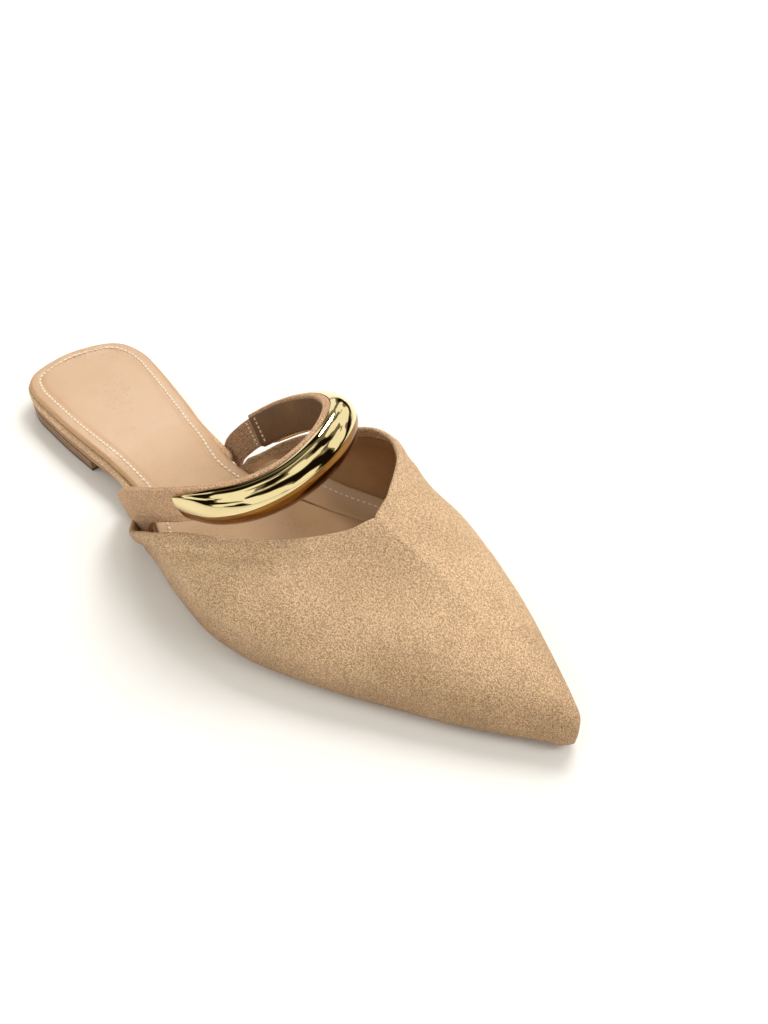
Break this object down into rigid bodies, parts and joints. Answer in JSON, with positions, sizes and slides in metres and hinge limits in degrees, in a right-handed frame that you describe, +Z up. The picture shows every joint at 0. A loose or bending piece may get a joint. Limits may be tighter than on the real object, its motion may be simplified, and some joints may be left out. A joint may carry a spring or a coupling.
{
  "type": "pointed flat mule",
  "caption": "Pointed flat mule for the right foot: open heel, V throat, leather insole, low heel block, and an instep strap with an elastic end and a domed metal bar.",
  "frame": {"origin": "on the floor under the middle of the shoe's length and width", "axes": "+X along the shoe from heel to toe, +Y towards the inner side of the foot, +Z up from the floor"},
  "size_m": [0.265, 0.0858, 0.0615],
  "materials": {
    "sole": "brown leather-like sole, matt underneath, dyed edge",
    "heel": "stacked brown heel, waxed sides with fine layers",
    "suede": "tan suede with a short brushed nap",
    "insole_leather": "smooth tan leather with a soft sheen and a cream running stitch",
    "strap_suede": "tan suede outside and smooth tan leather inside, with rolled edges",
    "elastic": "brown woven elastic",
    "gold": "pale gold plating, polished like a mirror"
  },
  "bodies": {
    "root": {"outsole": "sole", "heel_block": "heel", "footbed": "suede", "insole": "insole_leather", "upper": "suede", "strap": "strap_suede", "strap_elastic": "elastic", "metal_bar": "gold"}
  },
  "joints": []
}
